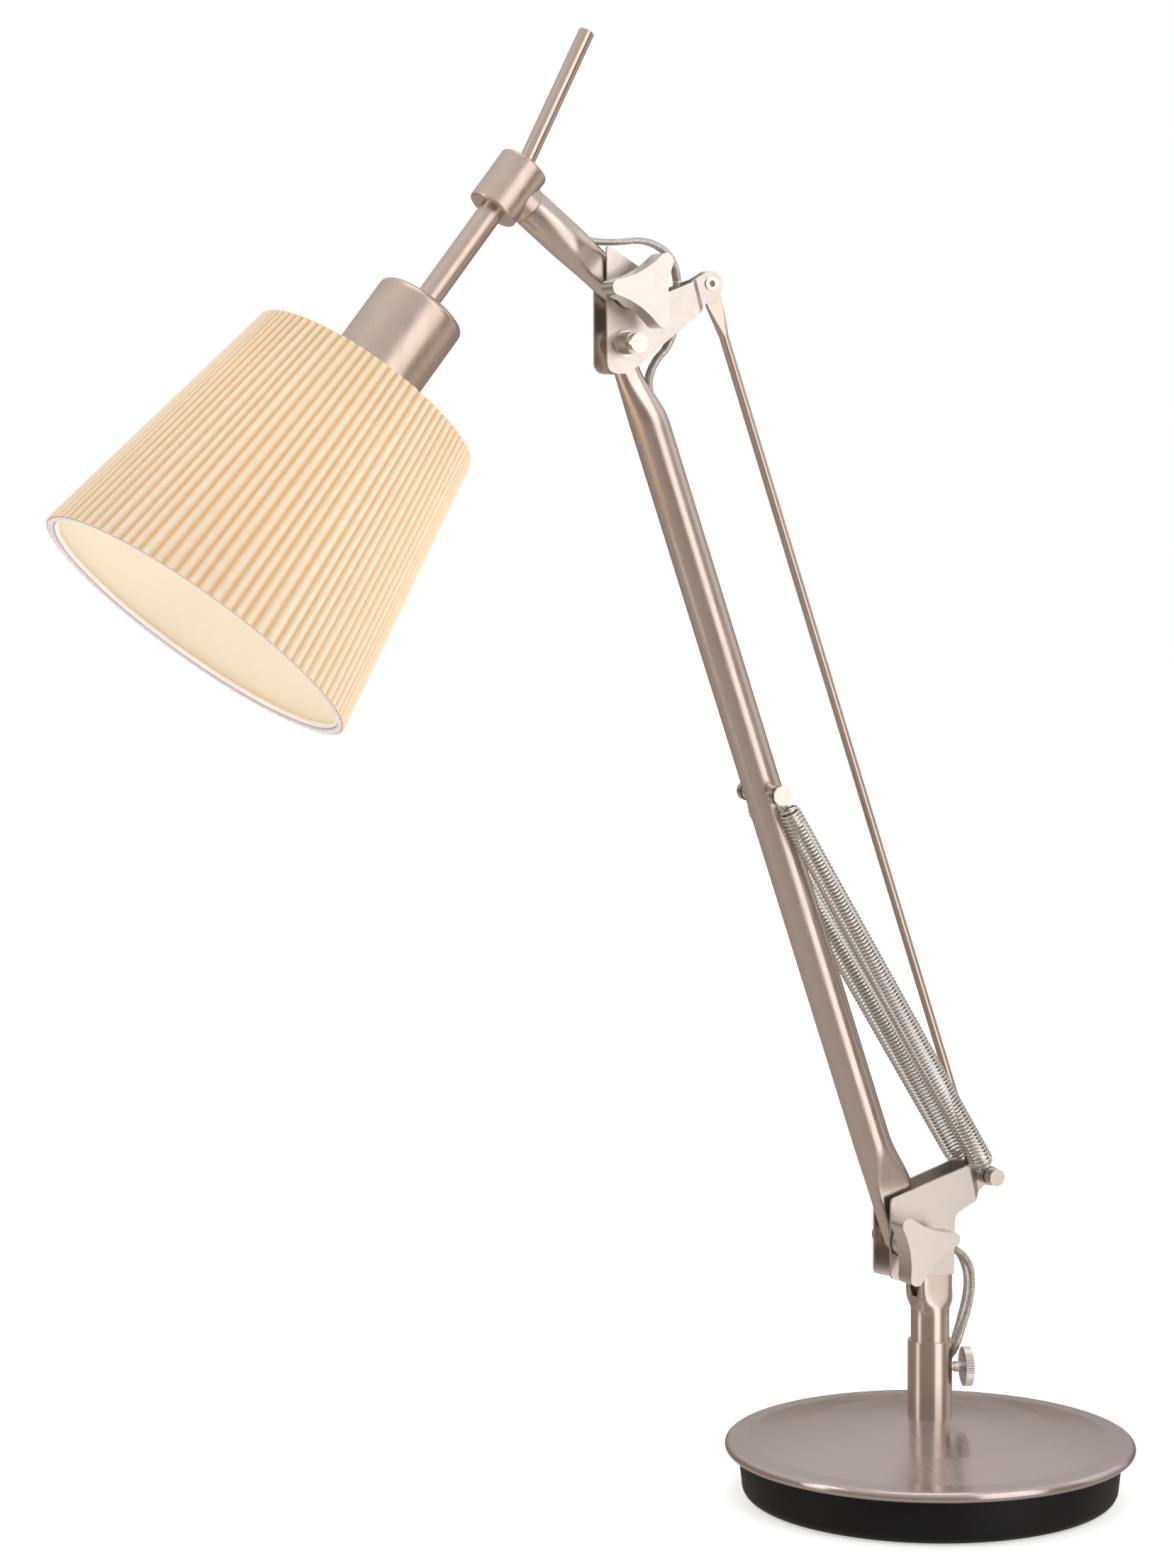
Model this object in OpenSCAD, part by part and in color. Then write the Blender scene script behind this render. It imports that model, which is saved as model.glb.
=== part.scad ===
// Balanced-arm reading lamp with a pleated shade on a weighted round base.
// Row frame: origin at the centre of the base's underside, +Z up, the arm lies in the XZ plane and leans to -X.

/* [Base] */
// Outer radius of the round base cover
base_r = 101.5; // [98:0.5:106]
// Height of the widest line of the base cover
rim_z = 26; // [25:0.5:27]
// Height of the base cover where it meets the sleeve
crown_z = 39.8; // [38:0.2:41]
// Radius of the black base body at its top
skirt_r = 94.5; // [93:0.5:96]

/* [Post and sleeve] */
// Outer diameter of the fixed sleeve
sleeve_d = 22; // [21.6:0.2:23]
// Height of the sleeve's top face
sleeve_top = 78.6; // [76:0.2:80]
// Outer diameter of the turning post
post_d = 19.05; // [18.9:0.05:19.05]
// Direction of the thumb screw, seen from above
thumb_az = -19; // [-25:1:-12]
// Radius of the knurled thumb wheel
thumb_r = 9.8; // [9:0.2:10.5]

/* [Arm linkage] */
// Distance between the two arm pivots
arm_len = 460; // [440:5:480]
// Lean of the arm from upright
arm_lean = 19.15; // [17:0.05:21]
// Outer diameter of the arm tube
arm_d = 18.4; // [18:0.1:18.4]
// Wall of the arm and wrist tubes
tube_wall = 1.1; // [1:0.1:1.3]
// Distance from the lower pivot to the spring pin
pin_s = 234; // [228:1:240]
// Diameter of the parallel link rod
link_d = 4.5; // [4:0.1:5]
// Outer diameter of the balance springs
spring_d = 12; // [10:0.2:12]

/* [Head] */
// Angle of the head axis above the horizontal
head_angle = 51.4; // [49:0.1:54]
// Distance from the tilt pivot to the holder's centre
wrist_len = 74; // [72:0.5:78]
// Outer diameter of the wrist tube
wrist_d = 17.8; // [17:0.1:18]
// Diameter of the round holder
holder_d = 24; // [23.6:0.2:25]
// Length of the round holder
holder_len = 27; // [26:0.5:28]
// Diameter of the conduit between holder and lamp cup
conduit_d = 11.5; // [11:0.1:12]
// Diameter of the handle rod
handle_d = 7.4; // [7:0.1:8]
// Length of the handle rod above the holder
handle_len = 69.5; // [60:0.5:80]
// Tilt of the handle rod from the head axis
handle_tilt = 11.2; // [8:0.1:12]
// Diameter of the lamp cup
cup_d = 43.5; // [42:0.5:45]

/* [Shade] */
// Outer radius of the shade at its lower rim
shade_rb = 80.4; // [78:0.2:83]
// Outer radius of the shade at its upper rim
shade_rt = 57.9; // [56:0.2:60]
// Height of the shade along its axis
shade_h = 133.4; // [130:0.2:136]
// Depth of the pleats
pleat_t = 1.9; // [1.6:0.1:2.2]

/* [Hidden] */
$fn = 64;

// Pivot A: arm on the lower plates. AB and CD are the short sides of the parallelogram.
A = [-20.3, 131.5];
AB = [47.4, 28.4];
B = A + AB;
C = A + arm_len * [-sin(arm_lean), cos(arm_lean)];
D = C + AB;
// Pivot E: wrist on the elbow plates.
E = C + [1.9, 24.0];
// The arm tube's axis runs beside the pivots' line by this much.
arm_off = 3.4;
gap = 0.3;      // side play between moving parts
low_in = 7.1;   // inner half width between the lower plates
up_in = 5.7;    // inner half width between the elbow plates
plate_t = 1.5;
bolt_r = 3;
spring_lo = 11.5;  // sideways distance of each spring from the middle, at the lower pin
spring_hi = 15.6;  // and at the upper pin
spring_end = 11;   // length of hook from a pin to the coil
kfront = -29;      // front face of the elbow knob
head_lean = 90 - head_angle;
wrist_lean = -head_angle;
// Positions along the head axis, from the holder's centre.
cup_top = -68.6;
cup_bot = -127;
shade_top = -116.9;
shade_bot = shade_top - shade_h;
shade_n = 1.7;   // the shade's centre line offset, along the head's own X

function unit(v) = v / norm(v);
function corner(a, p, b, r, n) = let(u = unit(a - p), v = unit(b - p), th = acos(u * v),
    c = p + unit(u + v) * (r / sin(th / 2)), s = p + u * (r / tan(th / 2)), e = p + v * (r / tan(th / 2)),
    a0 = atan2(s.y - c.y, s.x - c.x), a1 = atan2(e.y - c.y, e.x - c.x), d = ((a1 - a0 + 540) % 360) - 180)
    [for (i = [0 : n]) c + r * [cos(a0 + d * i / n), sin(a0 + d * i / n)]];
// Rounds each corner of an outline: q is a list of [x, y, radius].
function rounded(q, n = 4) = let(m = len(q)) [for (i = [0 : m - 1])
    let(a = q[(i + m - 1) % m], p = q[i], b = q[(i + 1) % m])
    each (p[2] > 0 ? corner([a.x, a.y], [p.x, p.y], [b.x, b.y], p[2], n) : [[p.x, p.y]])];
function arc(c, r, a0, a1, n) = [for (i = [0 : n]) c + r * [cos(a0 + (a1 - a0) * i / n), sin(a0 + (a1 - a0) * i / n)]];
function knurl(r, n, d) = [for (i = [0 : 2 * n - 1]) (r - (i % 2) * d) * [cos(i * 180 / n), sin(i * 180 / n)]];
// Catmull-Rom points between the route's own points, and a swept closed tube.
function cr(a, b, c, d, t) = 0.5 * ((2 * b) + (c - a) * t + (2 * a - 5 * b + 4 * c - d) * t * t + (3 * b - a - 3 * c + d) * t * t * t);
function smooth(p, m) = let(n = len(p)) [for (i = [0 : n - 2]) for (k = [0 : m - 1])
    cr(i == 0 ? 2 * p[0] - p[1] : p[i - 1], p[i], p[i + 1], i + 2 > n - 1 ? 2 * p[n - 1] - p[n - 2] : p[i + 2], k / m), p[n - 1]];
module sweep(p, r, k = 10) {
    n = len(p);
    t = [for (i = [0 : n - 1]) unit(p[min(i + 1, n - 1)] - p[max(i - 1, 0)])];
    y = [0, 1, 0];
    pts = [for (i = [0 : n - 1]) let(u = unit(y - (y * t[i]) * t[i]), v = cross(t[i], u))
        for (j = [0 : k - 1]) p[i] + r * (cos(360 * j / k) * u + sin(360 * j / k) * v)];
    faces = concat([[for (j = [0 : k - 1]) j]], [[for (j = [k - 1 : -1 : 0]) (n - 1) * k + j]],
        [for (i = [0 : n - 2]) for (j = [0 : k - 1]) each let(a = i * k + j, b = i * k + (j + 1) % k)
            [[a, a + k, b], [b, a + k, b + k]]]);
    polyhedron(pts, faces, convexity = 10);
}
// Extrudes an XZ outline from y0 to y1.
module xz(y0, y1) translate([0, y1, 0]) rotate([90, 0, 0]) linear_extrude(y1 - y0) children();
// A cylinder along Y from y0 to y1 at (x, z).
module ycyl(p, r, y0, y1) translate([p.x, y0, p.y]) rotate([-90, 0, 0]) cylinder(r = r, h = y1 - y0);
module in_arm() translate([A.x, 0, A.y]) rotate([0, -arm_lean, 0]) children();
module in_link() translate([B.x, 0, B.y]) rotate([0, -arm_lean, 0]) children();
module in_wrist() translate([E.x, 0, E.y]) rotate([0, wrist_lean, 0]) children();
module in_head() in_wrist() translate([0, 0, wrist_len]) rotate([0, 90, 0]) children();
module tube(r, ri, z0, z1) translate([0, 0, z0]) difference() { cylinder(r = r, h = z1 - z0); translate([0, 0, -1]) cylinder(r = ri, h = z1 - z0 + 2); }
module thumb_dir() rotate([0, 0, thumb_az]) children();
// Frame along a balance spring: origin at pin B, +Z towards the spring pin on the arm.
Mp = A + pin_s * [-sin(arm_lean), cos(arm_lean)] + arm_off * [cos(arm_lean), sin(arm_lean)];
spring_len = norm(Mp - B);
spring_lean = -atan2(-(Mp - B).x, (Mp - B).y);
module in_spring() translate([B.x, 0, B.y]) rotate([0, spring_lean, 0]) children();
// One spring's own axis: the two springs spread a little towards the arm.
splay = atan((spring_hi - spring_lo) / spring_len);
module in_coil(s) in_spring() translate([0, s * spring_lo, 0]) rotate([-s * splay, 0, 0]) children();

// ---------- base ----------
// Non-slip pad under the base.
module base_pad() color("dimgray") cylinder(r = 84, h = 1.6);
// Black moulded base body, open below for the weight.
module base_body() color([0.04, 0.04, 0.045]) difference() {
    rotate_extrude() polygon(concat([[0, 5.6], [84.6, 5.6], [84.6, 0.7]], arc([87.6, 6.2], 5.5, -90, -8, 6),
        [[skirt_r - 0.5, 14], [skirt_r, 21.8], [84.5, 21.8], [84.5, 23.6], [0, 23.6]]));
    translate([0, 0, 5]) cylinder(r = 82.2, h = 17);
    translate([0, 0, 20]) cylinder(r = 5.3, h = 5);
    translate([0, 0, 5]) cylinder(r = 10.2, h = 1.2);
    rotate([0, 0, 58]) translate([70, 0, 12]) rotate([0, 90, 0]) cylinder(r = 5.05, h = 40);
}
// Cast iron ballast inside the base body.
module base_weight() color("gray") difference() {
    translate([0, 0, 6.0]) cylinder(r = 81.8, h = 15.6);
    cylinder(r = 5.3, h = 40);
    translate([0, 0, 5]) cylinder(r = 12, h = 7);
    rotate([0, 0, 58]) translate([66, -8, 5]) cube([30, 16, 18]);
}
// Spun cover with a rolled rim.
module base_cover() color([0.66, 0.63, 0.61]) rotate_extrude()
    polygon(concat([[5.3, crown_z - 1.5], [5.3, crown_z], [11, crown_z], [30, crown_z - 1.7], [60, crown_z - 5.4], [90, rim_z + 3.1]],
        arc([base_r - 2.8, rim_z - 0.2], 2.8, 72, -90, 10),
        [[base_r - 6.5, rim_z - 3.4], [base_r - 7.5, rim_z - 2.6], [base_r - 7.5, rim_z - 1.6]],
        [[base_r - 4.4, rim_z - 1.5], [base_r - 4.2, rim_z + 0.3], [90, rim_z + 1.5], [60, crown_z - 6.9], [30, crown_z - 3.2], [11, crown_z - 1.5]]));
// Bolt that ties sleeve, cover, weight and body together.
module base_bolt() color("silver") { translate([0, 0, 7.6]) cylinder(r = 5, h = 38.2); }
// Nut and washer under the weight.
module base_nut() color("silver") difference() {
    union() { translate([0, 0, 8]) cylinder(r = 8.6, h = 3.0, $fn = 6); translate([0, 0, 11]) cylinder(r = 10, h = 1.0); }
    cylinder(r = 5, h = 30);
}
// Outlet bush for the supply lead at the back of the base.
module cord_bush() color([0.06, 0.06, 0.065]) rotate([0, 0, 58]) translate([0, 0, 12]) rotate([0, 90, 0]) difference() {
    union() { translate([0, 0, 80]) cylinder(r = 5, h = 16.5); translate([0, 0, skirt_r + 0.2]) cylinder(r = 6.4, h = 1.8); }
    translate([0, 0, 79]) cylinder(r = 2.6, h = 30);
}
// Fixed sleeve, a blind socket for the post.
module post_sleeve() color([0.74, 0.71, 0.68]) difference() {
    translate([0, 0, crown_z]) cylinder(d = sleeve_d, h = sleeve_top - crown_z);
    translate([0, 0, crown_z + 6]) cylinder(r = post_d / 2 + 0.06, h = 60);
    translate([0, 0, crown_z - 1]) cylinder(r = 5, h = 9);
    thumb_dir() translate([5, 0, 64.3]) rotate([0, 90, 0]) cylinder(r = 2.04, h = 12);
    rotate([0, 0, 48]) translate([9.0, 0, 62.5]) rotate([0, 90, 0]) cylinder(r = 3.6, h = 12);
}
// Grommet where the lead goes into the sleeve.
module sleeve_grommet() color([0.1, 0.1, 0.1]) rotate([0, 0, 48]) translate([0, 0, 62.5]) rotate([0, 90, 0]) difference() {
    union() { translate([0, 0, 9.85]) cylinder(r = 3.55, h = 2.3); translate([0, 0, 11.3]) cylinder(r = 4.6, h = 1.3); }
    translate([0, 0, 9]) cylinder(r = 2.5, h = 6);
}
// Knurled screw that clamps the post.
module thumb_screw() color([0.72, 0.69, 0.66]) thumb_dir() translate([0, 0, 64.3]) rotate([0, 90, 0]) {
    translate([0, 0, post_d / 2 + 0.15]) cylinder(r = 1.98, h = 7.2);
    translate([0, 0, 16.5]) linear_extrude(4) polygon(knurl(thumb_r, 48, 0.5));
    translate([0, 0, 12.2]) cylinder(r = 2.6, h = 4.4);
}

// ---------- turning post and lower plates ----------
// Post: a round tube whose top is pressed and slit into a fork.
module post() color([0.74, 0.71, 0.68]) difference() {
    union() {
        translate([0, 0, crown_z + 6.2]) cylinder(d = post_d, h = 95 - crown_z - 6.2);
        hull() { translate([0, 0, 94.9]) cylinder(d = post_d, h = 0.2, $fn = 32); xz(-8.6, 8.6) polygon([[-9.8, 107.5], [8.6, 107.5], [8.6, 111.8], [-9.8, 111.8]]); }
    }
    translate([0, 0, 40]) cylinder(r = post_d / 2 - tube_wall, h = 50.5);
    hull() { translate([0, 0, 89]) cylinder(r = post_d / 2 - tube_wall + 0.35, h = 0.2, $fn = 32); xz(-low_in, low_in) polygon([[-20, 106], [8.4, 106], [8.4, 113], [-20, 113]]); }
}
function low_outline() = rounded([[-27.7, 113, 3], [-27.7, 152.2, 2.5], [17.2, 165.6, 0], [21.2, 147.4, 0], [9.3, 141.6, 4], [8.6, 131, 3], [8.6, 112, 0], [-10.1, 112, 0], [-10.1, 109.2, 0], [-17, 110, 3]]);
module low_plate(s) mirror([0, s > 0 ? 1 : 0, 0]) difference() {
    union() {
        xz(-low_in - plate_t, -low_in) polygon(low_outline());
        hull() { xz(-low_in - plate_t, -low_in) polygon([[16.6, 165.3], [17.2, 165.6], [21.2, 147.4], [20.6, 147.1]]);
            xz(-4.1, -2.6) polygon([[21.5, 165.7], [22, 165.8], [25.3, 151.0], [24.8, 150.7]]); }
        xz(-4.1, -2.6) union() { translate(B) circle(r = 6.2); polygon([[21.5, 165.7], [B.x + 0.8, 166.0], [B.x + 5, 156.2], [24.8, 150.7]]); }
    }
    ycyl(A, bolt_r, -20, 20);
    ycyl(B, bolt_r, -20, 20);
}
module lower_plate_front() color([0.8, 0.77, 0.74]) low_plate(-1);
module lower_plate_back() color([0.8, 0.77, 0.74]) low_plate(1);
// Bolt of the lower pivot; its head is behind, the knob threads on in front.
module lower_pivot_bolt() color("silver") { ycyl(A, bolt_r, -26, 8.6); ycyl(A, 6.2, 8.6, 11.8); }
// Friction washers under the knob and inside the plates.
module lower_washers() color([0.2, 0.2, 0.2]) difference() {
    ycyl(A, 8.2, -10.2, -low_in - plate_t);
    ycyl(A, bolt_r, -20, 20);
}
// Pin that carries the lower spring ends and the link rod.
module pin_profile(p, g0, g1, rh) { ycyl(p, bolt_r, -g0, g0); for (s = [-1, 1]) { ycyl(p, 3.2, s > 0 ? g0 : -g1, s > 0 ? g1 : -g0); ycyl(p, rh, s > 0 ? g1 : -18.6, s > 0 ? 18.6 : -g1); } }
module lower_spring_pin() color("silver") {
    pin_profile(B, 9.8, 13.2, 4.2);
    for (s = [-1, 1]) ycyl(B, 4.4, s > 0 ? 4.2 : -9.8, s > 0 ? 9.8 : -4.2);
}
// Three-lobed clamping knob: outline radius for each direction.
// Tip circles of radius r at distance d, joined by hollow sides that come within m of the middle.
function lobe(o, d = 15.6, r = 3.6, m = 9.4) = let(e = m - r, q = (d * d - e * e) / (d - 2 * e), f = atan2(q * sin(60), q * cos(60) - d))
    [for (k = [0 : 2]) let(a = o + 120 * k) each concat(arc(d * [cos(a), sin(a)], r, a - f, a + f, 8),
        [for (p = arc(q * [cos(a + 60), sin(a + 60)], q - m, a + f + 180, a + 300 - f, 8)) if (p != undef) p])];
module knob(p, yf, yhub, o) difference() {
    union() {
        translate([p.x, 0, p.y]) xz(yf, yf + 12) polygon(lobe(o));
        ycyl(p, 8, yf + 12, yhub);
    }
    ycyl(p, bolt_r + 0.06, yf + 2.5, yhub + 1);
}
module lower_knob() color([0.78, 0.75, 0.72]) knob(A, -30, -10.5, 10);

// ---------- arm ----------
// Arm tube: round, with both ends pressed to flat tongues with round edges.
function stadium(x0, x1, h) = concat(arc([x1 - h, 0], h, -90, 90, 10), arc([x0 + h, 0], h, 90, 270, 10));
module pressed_end(zc, dir, x0, x1, h, z_flat, z_round, r, zr, off = arm_off) {
    hull() { translate([off, 0, zc + dir * (z_round + 1)]) cylinder(r = r - 0.3, h = 0.4, center = true, $fn = 32);
        translate([0, 0, zc + dir * (z_flat - 1)]) linear_extrude(0.4, center = true) polygon(stadium(x0 + 0.3, x1 - 0.3, h - 0.3)); }
    intersection() {
        translate([0, 0, zc + (dir > 0 ? -20 : -z_flat)]) linear_extrude(20 + z_flat) polygon(stadium(x0, x1, h));
        xz(-h - 2, h + 2) polygon(rounded([[x0 - 2, zc + dir * (z_flat + 5), 0], [x0 - 2, zc - dir * zr, 0], [x0 + 0.6, zc - dir * zr, 0], [x1 - 1, zc - dir * zr, 0], [x1 + 2, zc - dir * (zr - 6), 0], [x1 + 2, zc + dir * (z_flat + 5), 0]]));
    }
}
module arm_tube() color([0.72, 0.69, 0.66]) in_arm() difference() {
    union() {
        translate([arm_off, 0, 49.9]) cylinder(d = arm_d, h = arm_len - 49.9 - 39.9);
        pressed_end(0, 1, -6.0, 17.2, 4.2, 22, 50, arm_d / 2, 7);
        pressed_end(arm_len, -1, -6.0, 6.4, 4.2, 14, 40, arm_d / 2, 6.6);
    }
    translate([arm_off, 0, 47]) cylinder(r = arm_d / 2 - tube_wall, h = arm_len - 47 - 38);
    translate([5, -2.6, -20]) cube([10.4, 5.2, 72]);
    translate([14, -2.6, -20]) cube([12, 5.2, 33]);
    translate([4.2, -2.6, arm_len - 42]) cube([26, 5.2, 60]);
    translate([0, -20, 0]) rotate([-90, 0, 0]) cylinder(r = bolt_r + 0.06, h = 40);
    translate([0, -20, arm_len]) rotate([-90, 0, 0]) cylinder(r = bolt_r + 0.06, h = 40);
    translate([arm_off, -20, pin_s]) rotate([-90, 0, 0]) cylinder(r = bolt_r, h = 40);
}
// Spacer rings that centre the tongues between the plates.
module spacer(z, y0, y1, r) for (s = [-1, 1]) translate([0, s > 0 ? y0 : -y1, z]) rotate([-90, 0, 0]) difference() { cylinder(r = r, h = y1 - y0); translate([0, 0, -1]) cylinder(r = bolt_r + 0.06, h = 30); }
module arm_bushes() color("peru") in_arm() { spacer(0, 4.25, low_in - 0.1, 5.9); spacer(arm_len, 4.25, up_in - 0.1, 5.9); }
// Pin across the arm that carries the upper spring ends.
module upper_spring_pin() color("silver") { pin_profile(Mp, 13.9, 17.2, 4.75);
    for (s = [-1, 1]) ycyl(Mp, 4.6, s > 0 ? arm_d / 2 + 0.05 : -13.9, s > 0 ? 13.9 : -arm_d / 2 - 0.05); }
// Wire eye and shank that joins a spring to a pin.
module hook(z0, z1) {
    difference() { translate([0, -0.8, 0]) rotate([-90, 0, 0]) cylinder(r = 4.9, h = 1.6); translate([0, -2, 0]) rotate([-90, 0, 0]) cylinder(r = 3.3, h = 4); }
    translate([0, 0, 4.2]) cylinder(r = 0.65, h = z1 - 4.2);
}
module spring_hooks_upper() color("gainsboro") for (s = [-1, 1]) in_coil(s) translate([0, 0, spring_len]) mirror([0, 0, 1]) hook(0, spring_end - 0.8);
module spring_hooks_lower() color("gainsboro") for (s = [-1, 1]) in_coil(s) hook(0, spring_end);
module coil(s) in_coil(s) tube(spring_d / 2, spring_d / 2 - 1.4, spring_end - 2, spring_len - spring_end + 2);
module spring_front() color("gainsboro") coil(-1);
module spring_back() color("gainsboro") coil(1);
// Threaded rings that hold the upper hooks in the coils.
module spring_end_plugs() color("silver") for (s = [-1, 1]) in_coil(s) translate([0, 0, spring_len - spring_end]) tube(spring_d / 2 - 1.42, 3.7, -6, 0.6);
// Link rod of the parallelogram, with pressed eyes.
module link_rod() color([0.7, 0.66, 0.62]) in_link() difference() {
    union() {
        translate([0, 0, 26]) cylinder(d = link_d, h = arm_len - 52);
        for (q = [[0, 1, 5.6], [arm_len, -1, 5]]) {
            hull() { translate([0, 0, q[0] + q[1] * 26]) cylinder(d = link_d, h = 0.1, center = true, $fn = 32); translate([0, 0, q[0] + q[1] * 10]) cube([8, 2.4, 0.1], center = true); }
            translate([0, -1.2, q[0]]) rotate([-90, 0, 0]) cylinder(r = q[2], h = 2.4);
            translate([-4, -1.2, q[0] + (q[1] > 0 ? 0 : -10)]) cube([8, 2.4, 10]);
        }
    }
    translate([0, -5, 0]) rotate([-90, 0, 0]) cylinder(r = bolt_r + 0.07, h = 10);
    translate([0, -5, arm_len]) rotate([-90, 0, 0]) cylinder(r = 2.6, h = 10);
}

// ---------- elbow ----------
function up_outline() = let(o = C - [-171.2, 566.05]) [for (q = rounded([[-180.4, 552.2, 5], [-180.4, 611.6, 1.2], [-163.8, 601.3, 2], [-149.4, 589.6, 3], [-135.4, 595.0, 0], [-131.6, 580.4, 0],
    [-149.7, 567.0, 5], [-163.2, 556.4, 3], [-170.2, 552.2, 2]])) q + o];
module up_plate(s) mirror([0, s > 0 ? 1 : 0, 0]) { o = C - [-171.2, 566.05];
    difference() {
    union() {
        xz(-up_in - plate_t, -up_in) polygon(up_outline());
        translate([o.x, 0, o.y]) hull() { xz(-up_in - plate_t, -up_in) polygon([[-136.0, 594.8], [-135.4, 595.0], [-131.6, 580.4], [-132.2, 580.1]]);
            xz(-3.5, -2.0) polygon([[-132.6, 596.3], [-132.0, 596.5], [-128.4, 583.4], [-129.0, 583.1]]); }
        xz(-3.5, -2.0) union() { translate(D) circle(r = 6); translate(o) polygon([[-132.6, 596.3], [-125.4, 600.2], [-119.2, 590.4], [-129.0, 583.1]]); }
    }
    ycyl(C, bolt_r, -20, 20);
    ycyl(E, bolt_r, -20, 20);
    ycyl(D, 2.2, -20, 20);
} }
module elbow_plate_front() color([0.8, 0.77, 0.74]) up_plate(-1);
module elbow_plate_back() color([0.8, 0.77, 0.74]) up_plate(1);
// Slotted, knurled pivot pin at the top of the arm.
module elbow_pivot_pin() color("silver") difference() {
    union() { ycyl(C, bolt_r, -9, 12); translate([C.x, 0, C.y]) xz(-17, -8.7) polygon(knurl(5.1, 30, 0.4)); ycyl(C, 4.5, -22, -16.9); ycyl(C, 6.3, -8.8, -up_in - plate_t); }
    translate([C.x - 8, -23, C.y - 0.9]) cube([16, 3, 1.8]);
}
module elbow_pivot_nut() color("silver") difference() { translate([C.x, up_in + plate_t, C.y]) rotate([-90, 0, 0]) cylinder(r = 5.8, h = 4, $fn = 6); ycyl(C, bolt_r, 0, 20); }
// Hollow rivet through the plates' ends and the rod's eye.
module link_eyelet() color("silver") difference() {
    union() { ycyl(D, 2.2, -4.4, 4.4); ycyl(D, 3.3, -4.4, -3.5); ycyl(D, 3.3, 3.5, 4.4); }
    ycyl(D, 1.5, -10, 10);
}
module tilt_bolt() color("silver") { ycyl(E, bolt_r, -26, up_in + plate_t); ycyl(E, 6.2, up_in + plate_t, up_in + plate_t + 3.2); }
module tilt_washers() color([0.2, 0.2, 0.2]) difference() { ycyl(E, 7.6, -8.8, -up_in - plate_t); ycyl(E, bolt_r, -20, 20); }
module elbow_knob() color([0.78, 0.75, 0.72]) knob(E, kfront, -9.1, 57);

// ---------- wrist ----------
module wrist_tube() color([0.72, 0.69, 0.66]) in_wrist() difference() {
    union() {
        translate([0, 0, 34]) cylinder(d = wrist_d, h = wrist_len - 13.8 - 34);
        pressed_end(0, 1, -8.6, 8.6, 4.6, 18.5, 34.1, wrist_d / 2, 8, 0);
    }
    translate([0, 0, 31]) cylinder(r = wrist_d / 2 - tube_wall, h = 60);
    translate([2.8, -2.6, 12]) cube([20, 5.2, 27]);
    translate([0, -20, 0]) rotate([-90, 0, 0]) cylinder(r = bolt_r + 0.06, h = 40);
}
// Spacer rings on the tilt bolt, and the bearing bush for the holder's stub.
module wrist_bush() color("peru") in_wrist() {
    spacer(0, 4.65, up_in - 0.1, 6.6);
    tube(wrist_d / 2 - tube_wall - 0.02, 5.05, wrist_len - 24, wrist_len - 14);
}

// ---------- head ----------
// Round holder with a stub that turns in the wrist tube.
module holder() color([0.68, 0.65, 0.62]) difference() {
    union() {
        in_head() rotate_extrude() polygon(concat([[0, -holder_len / 2]], arc([holder_d / 2 - 1.2, -holder_len / 2 + 1.2], 1.2, -90, 0, 4), arc([holder_d / 2 - 1.2, holder_len / 2 - 1.2], 1.2, 0, 90, 4), [[0, holder_len / 2]]));
        in_wrist() translate([0, 0, wrist_len - 13.5]) cylinder(d = wrist_d, h = 6);
        in_wrist() translate([0, 0, wrist_len - 24.5]) cylinder(r = 5, h = 12);
    }
    in_head() translate([0, 0, -20]) cylinder(r = conduit_d / 2, h = 14);
    in_head() translate([0, 0, holder_len / 2]) rotate([0, -handle_tilt, 0]) translate([0, 0, -9]) cylinder(d = handle_d, h = 20);
    in_head() translate([0, 0, -8]) cylinder(r = 2.4, h = 8);
    in_wrist() translate([0, 0, wrist_len - 30]) cylinder(r = 2.2, h = 31);
}
// Ring screw that keeps the stub in the wrist tube.
module swivel_screw() color("silver") in_wrist() difference() { translate([0, 0, wrist_len - 26.2]) cylinder(r = 7.2, h = 1.7); translate([0, 0, 0]) cylinder(r = 2.2, h = 90); }
module conduit() color([0.7, 0.66, 0.63]) in_head() tube(conduit_d / 2, conduit_d / 2 - 1, cup_top - 8, -6.2);
// Plain handle rod.
module handle_rod() color([0.66, 0.62, 0.58]) in_head() translate([0, 0, holder_len / 2]) rotate([0, -handle_tilt, 0]) difference() {
    translate([0, 0, -8.8]) rotate_extrude() polygon([[0, 0], [handle_d / 2 - 0.02, 0], [handle_d / 2 - 0.02, handle_len + 8.4], [handle_d / 2 - 0.4, handle_len + 8.8], [0, handle_len + 8.8]]);
    translate([0, 0, handle_len - 1.2]) cylinder(r = 2.4, h = 3);
}
// Cup over the lamp socket.
module lamp_cup() color([0.7, 0.64, 0.6]) in_head() rotate_extrude() polygon(concat([[conduit_d / 2, cup_top - 1.3], [conduit_d / 2, cup_top]],
    [for (i = [5 : -1 : 0]) [cup_d / 2 - 3.4, cup_top - 3.4] + 3.4 * [cos(i * 18), sin(i * 18)]],
    [[cup_d / 2, cup_bot], [cup_d / 2 - 1.2, cup_bot]], [for (i = [0 : 5]) [cup_d / 2 - 3.4, cup_top - 3.4] + 2.2 * [cos(i * 18), sin(i * 18)]]));
// Moulded lamp socket with its outer thread sleeve.
module lamp_socket() color([0.9, 0.9, 0.88]) in_head() difference() {
    union() { translate([0, 0, cup_top - 22]) cylinder(r = 14, h = 12); translate([0, 0, cup_bot - 2]) cylinder(r = 18, h = cup_top - 22 - cup_bot + 2); }
    translate([0, 0, cup_bot - 3]) cylinder(r = 14.6, h = 31);
    translate([0, 0, cup_top - 30]) cylinder(r = 2, h = 40);
}
// Screw shell that takes the bulb.
module socket_shell() color("goldenrod") in_head() tube(14.5, 13.7, cup_bot - 0.5, cup_bot + 26);
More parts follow.
